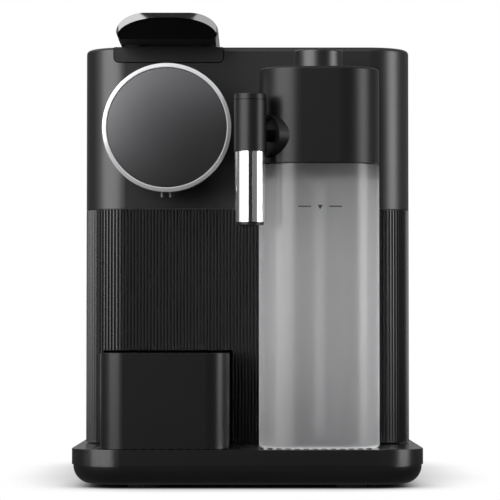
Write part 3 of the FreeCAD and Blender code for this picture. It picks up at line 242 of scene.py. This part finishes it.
jug_tree.links.new(jug_inside.outputs["BSDF"], jug_wall.inputs[2])
jug_tree.links.new(jug_wall.outputs["Shader"], jug_tree.nodes["Material Output"].inputs["Surface"])
wear(smoke_jug, "milk_jug")


# Fill mark: two short lines and a small pointer between them, printed dark on the front of the jug.
# The print stands a hair proud of the jug's skin, with softened edges.
def soften(edge, rounds):
    """Settle the active new piece at the origin and bevel all its edges."""
    bpy.ops.object.transform_apply(location=True, rotation=True, scale=True)
    bpy.ops.object.mode_set(mode="EDIT")
    bpy.ops.mesh.select_all(action="SELECT")
    bpy.ops.mesh.bevel(offset=edge, segments=rounds)
    bpy.ops.object.mode_set(mode="OBJECT")


print_black = moulded_finish(
    "print_black", dark=(0.010, 0.010, 0.010), light=(0.018, 0.018, 0.018), rough=(0.5, 0.6))
jug_low, jug_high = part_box("milk_jug")
jug_x = (jug_low[0] + jug_high[0]) / 2
fill_height = 0.1612
line_places = (0.0328, 0.0505)
line_length = 0.0075
line_thick = 0.0006
pointer_radius = 0.0017
print_depth = 0.0004
print_edge = 0.0001
print_y = jug_low[1] + print_depth / 4
fill_lines = []
for line_x in line_places:
    bpy.ops.object.select_all(action="DESELECT")
    bpy.ops.mesh.primitive_cube_add(size=1.0, location=(line_x, print_y, fill_height))
    fill_line = bpy.context.object
    fill_line.scale = (line_length, print_depth, line_thick)
    soften(print_edge, 1)
    fill_lines.append(fill_line)
bpy.ops.object.select_all(action="DESELECT")
bpy.ops.mesh.primitive_cylinder_add(vertices=3, radius=pointer_radius, depth=print_depth,
                                    location=(jug_x, print_y, fill_height),
                                    rotation=(math.radians(-90), 0, 0))
fill_pointer = bpy.context.object
soften(print_edge, 1)
bpy.ops.object.select_all(action="DESELECT")
for part in (*fill_lines, fill_pointer):
    part.select_set(True)
bpy.context.view_layer.objects.active = fill_pointer
bpy.ops.object.join()
fill_pointer.name = "jug_fill_mark"
fill_pointer.data.materials.clear()
fill_pointer.data.materials.append(print_black)
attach(fill_pointer, "jug")

# Jug lid: a tall black cap with the froth knob on top and a round collar at its front left corner.
# A skirt with a rubber seal closes the jug, and a thin grey tube draws the milk up.
# A printed bar on the knob shows how far it is turned.
lid_black = moulded_finish(
    "lid_black", dark=(0.004, 0.004, 0.0045), light=(0.0055, 0.0055, 0.006), rough=(0.35, 0.39), shine=0.30)
wear(lid_black, "jug_lid", "spout_collar", "lid_skirt", "steam_plug")
wear(shell_black, "froth_knob")
knob_low, knob_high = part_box("froth_knob")
knob_x = (knob_low[0] + knob_high[0]) / 2
knob_y = (knob_low[1] + knob_high[1]) / 2
knob_radius = (knob_high[0] - knob_low[0]) / 2
bar_reach = knob_radius * 0.55
bar_length = knob_radius * 0.5
bar_width = 0.0012
bar_thick = 0.0005
bar_edge = 0.0002
bpy.ops.object.select_all(action="DESELECT")
bpy.ops.mesh.primitive_cube_add(size=1.0, location=(knob_x, knob_y - bar_reach, knob_high[2]))
knob_pointer = bpy.context.object
knob_pointer.name = "froth_knob_pointer"
knob_pointer.scale = (bar_width, bar_length, bar_thick)
soften(bar_edge, 2)
knob_pointer.data.materials.append(touch_grey)
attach(knob_pointer, "froth_knob")
milky_hose = moulded_finish(
    "milky_hose", dark=(0.34, 0.34, 0.335), light=(0.40, 0.40, 0.395), rough=(0.4, 0.5))
wear(milky_hose, "suction_tube")

# Milk spout: a black sleeve with a cap above a polished steel tube that ends in a black tip.
# It swings on its neck in the collar.
wear(lid_black, "spout_sleeve", "spout_cap", "spout_tip")
wear(rim_chrome, "spout_tube")

# Water tank: a clear dark smoke box, moulded in one piece, that lifts out at the rear.
# It has a black lid, and a valve in its floor that sits on the dock.
smoke_tank = moulded_finish(
    "smoke_tank", dark=(0.44, 0.44, 0.46), light=(0.48, 0.48, 0.50), rough=(0.05, 0.09),
    grain_scale=700.0, grain_depth=0.01)
tank_shader = smoke_tank.node_tree.nodes["Principled BSDF"]
tank_shader.inputs["Transmission Weight"].default_value = 0.95
tank_shader.inputs["IOR"].default_value = 1.3
wear(smoke_tank, "water_tank")
wear(satin_black, "tank_lid")

# Pieces inside the casing: frames and housings in grey plastic, and hoses in milky silicone.
# The two heaters are castings in light alloy, and the boards are green laminate.
inner_grey = moulded_finish(
    "inner_grey", dark=(0.20, 0.20, 0.21), light=(0.25, 0.25, 0.26), rough=(0.45, 0.55))
wear(inner_grey, "inner_frame", "brew_frame", "brew_piston", "water_pump", "flow_meter", "solenoid_valve",
     "tank_dock", "tank_valve", "steam_socket")
wear(milky_hose, "water_hoses")
heater_casting = moulded_finish(
    "heater_casting", dark=(0.55, 0.55, 0.57), light=(0.64, 0.64, 0.66), rough=(0.42, 0.55), metallic=1.0,
    grain_scale=600.0, grain_depth=0.2)
wear(heater_casting, "coffee_thermoblock", "steam_thermoblock")
green_board = moulded_finish(
    "green_board", dark=(0.02, 0.12, 0.05), light=(0.03, 0.16, 0.07), rough=(0.3, 0.4))
wear(green_board, "main_board", "touch_board")


# Studio floor: plain white paper that glows, with a painted shadow: ambient occlusion darkens its glow only
# close under the object, where no light gets in.
# It is full white to the eye, and dimmer as a light from below.
def level_where_seen(tree, dim):
    """Full strength to the eye, through clear plastic and in polish, and dim as a light on the rest."""
    path = tree.nodes.new("ShaderNodeLightPath")
    seen = path.outputs["Is Camera Ray"]
    for ray in ("Is Transmission Ray", "Is Glossy Ray"):
        either = tree.nodes.new("ShaderNodeMath")
        either.operation = "MAXIMUM"
        tree.links.new(seen, either.inputs[0])
        tree.links.new(path.outputs[ray], either.inputs[1])
        seen = either.outputs[0]
    level = tree.nodes.new("ShaderNodeMapRange")
    level.inputs["To Min"].default_value = dim
    level.inputs["To Max"].default_value = 1.0
    tree.links.new(seen, level.inputs["Value"])
    return level.outputs["Result"]


floor_size = 40.0
floor_dim = 0.12
shade_reach = 0.065
bpy.ops.object.select_all(action="DESELECT")
bpy.ops.mesh.primitive_plane_add(size=floor_size, location=(0, 0, 0))
floor = bpy.context.object
floor.name = "studio_floor"
floor_white = bpy.data.materials.new("floor_white")
floor_white.use_nodes = True
paper = floor_white.node_tree
paper.nodes.remove(paper.nodes["Principled BSDF"])
# Painted shadow: ambient occlusion dims the paper's glow close under the object.
shade = paper.nodes.new("ShaderNodeAmbientOcclusion")
shade.samples = 16
shade.inputs["Distance"].default_value = shade_reach
shade_range = paper.nodes.new("ShaderNodeMapRange")
shade_range.inputs["From Min"].default_value = 0.05
shade_range.inputs["From Max"].default_value = 0.92
paper_light = paper.nodes.new("ShaderNodeMath")
paper_light.operation = "MULTIPLY"
paper_glow = paper.nodes.new("ShaderNodeEmission")
paper.links.new(shade.outputs["AO"], shade_range.inputs["Value"])
paper.links.new(level_where_seen(paper, floor_dim), paper_light.inputs[0])
paper.links.new(shade_range.outputs["Result"], paper_light.inputs[1])
paper.links.new(paper_light.outputs[0], paper_glow.inputs["Strength"])
paper.links.new(paper_glow.outputs["Emission"], paper.nodes["Material Output"].inputs["Surface"])
floor.data.materials.append(floor_white)

# White surround: the studio's paper goes on upwards as far as the eye reaches.
# It is full white where it is seen, and only a dim fill light for the rest.
surround_dim = 0.15
world = bpy.data.worlds.new("white_surround")
bpy.context.scene.world = world
world.use_nodes = True
sky = world.node_tree
backdrop = sky.nodes["Background"]
backdrop.inputs["Color"].default_value = (1.0, 1.0, 1.0, 1.0)
sky.links.new(level_where_seen(sky, surround_dim), backdrop.inputs["Strength"])


# Lamps: a broad soft panel on the left, a narrower one on the right, and one overhead.
# The left one draws the long highlight down the body's left corner.
# The overhead one only fills, so polished pieces don't mirror it.
def soft_lamp(name, place, aim, width, height, power):
    data = bpy.data.lights.new(name, "AREA")
    data.shape = "RECTANGLE"
    data.size = width
    data.size_y = height
    data.energy = power
    lamp = bpy.data.objects.new(name, data)
    bpy.context.scene.collection.objects.link(lamp)
    lamp.location = place
    lamp.rotation_euler = (Vector(aim) - Vector(place)).to_track_quat("-Z", "Y").to_euler()
    return lamp


body_middle = (0.0, -0.1, 0.14)
body_low = (0.0, 0.0, 0.1)
soft_lamp("left_panel", (-1.45, -1.55, 0.85), body_middle, width=2.2, height=2.2, power=76.0)
soft_lamp("right_panel", (1.85, -0.75, 0.15), body_middle, width=0.9, height=1.4, power=24.0)
overhead = soft_lamp("overhead", (0.0, -0.3, 1.8), body_low, width=1.2, height=1.2, power=14.0)
overhead.visible_glossy = False


# Standing cards that only reflections see, in a ring round the object.
# The one in front is dark, as the space behind a camera is.
# The grey ones beside and behind the object keep the edges of its mouldings dark.
def reflection_card(name, place, turn, width, height, grey):
    card_finish = bpy.data.materials.new(name + "_grey")
    card_finish.use_nodes = True
    card_tree = card_finish.node_tree
    card_tree.nodes.remove(card_tree.nodes["Principled BSDF"])
    card_glow = card_tree.nodes.new("ShaderNodeEmission")
    card_glow.inputs["Strength"].default_value = grey
    card_tree.links.new(card_glow.outputs["Emission"], card_tree.nodes["Material Output"].inputs["Surface"])
    bpy.ops.object.select_all(action="DESELECT")
    bpy.ops.mesh.primitive_plane_add(size=1.0, location=place)
    card = bpy.context.object
    card.name = name
    card.rotation_euler = turn
    card.scale = (width, height, 1.0)
    card.data.materials.append(card_finish)
    card.visible_camera = False
    card.visible_diffuse = False
    card.visible_transmission = False
    card.visible_shadow = False


def standing_card(name, angle, width, height, grey):
    """A card upright on the ring; the angle runs from the front round to the right."""
    ring_reach = 4.0
    ring_height = 0.2
    turn = math.radians(angle)
    place = (ring_reach * math.sin(turn), -ring_reach * math.cos(turn), ring_height)
    reflection_card(name, place, (math.radians(90), 0, turn), width, height, grey)


standing_card("front_card", 0.0, width=2.0, height=2.4, grey=0.02)
standing_card("right_front_card", 32.0, width=2.5, height=6.0, grey=0.20)
standing_card("left_side_card", -122.0, width=4.6, height=6.0, grey=0.14)
standing_card("right_side_card", 122.0, width=4.6, height=6.0, grey=0.25)
standing_card("back_card", 180.0, width=4.6, height=5.0, grey=0.30)

# Cards overhead and on the floor, which only reflections see too.
# The lever's rim mirrors two grey ones above and a small dark one between them.
# The one on the floor is dark, so the base doesn't mirror the white paper.
roof_tilt = (math.radians(-20), 0, 0)
reflection_card("roof_left_card", (-2.0, 0.65, 3.3), roof_tilt, width=4.0, height=7.0, grey=0.75)
reflection_card("roof_right_card", (2.0, 0.65, 3.3), roof_tilt, width=4.0, height=7.0, grey=0.45)
reflection_card("crest_card", (-0.047, 1.05, 2.9), roof_tilt, width=1.0, height=1.6, grey=0.02)
reflection_card("floor_card", (0.0, -1.5, 0.001), (0, 0, 0), width=5.0, height=6.0, grey=0.06)

# Camera: low in front of the machine, with a long lens, looking slightly up.
# The lens and the pitch come from the picture's size and its horizon, in pixels.
frame_pixels = 500.0
focal_pixels = 2637.0
horizon_pixel = 340.0
camera_place = (0.00145, -1.6835, 0.0846)
camera_data = bpy.data.cameras.new("photo_camera")
camera = bpy.data.objects.new("photo_camera", camera_data)
bpy.context.scene.collection.objects.link(camera)
bpy.context.scene.camera = camera
camera_data.sensor_width = 36.0
camera_data.lens = focal_pixels / frame_pixels * camera_data.sensor_width
camera.location = camera_place
pitch = math.atan((horizon_pixel - frame_pixels / 2) / focal_pixels)
camera.rotation_euler = (math.radians(90) + pitch, 0, 0)

bpy.context.scene.view_settings.view_transform = "Standard"
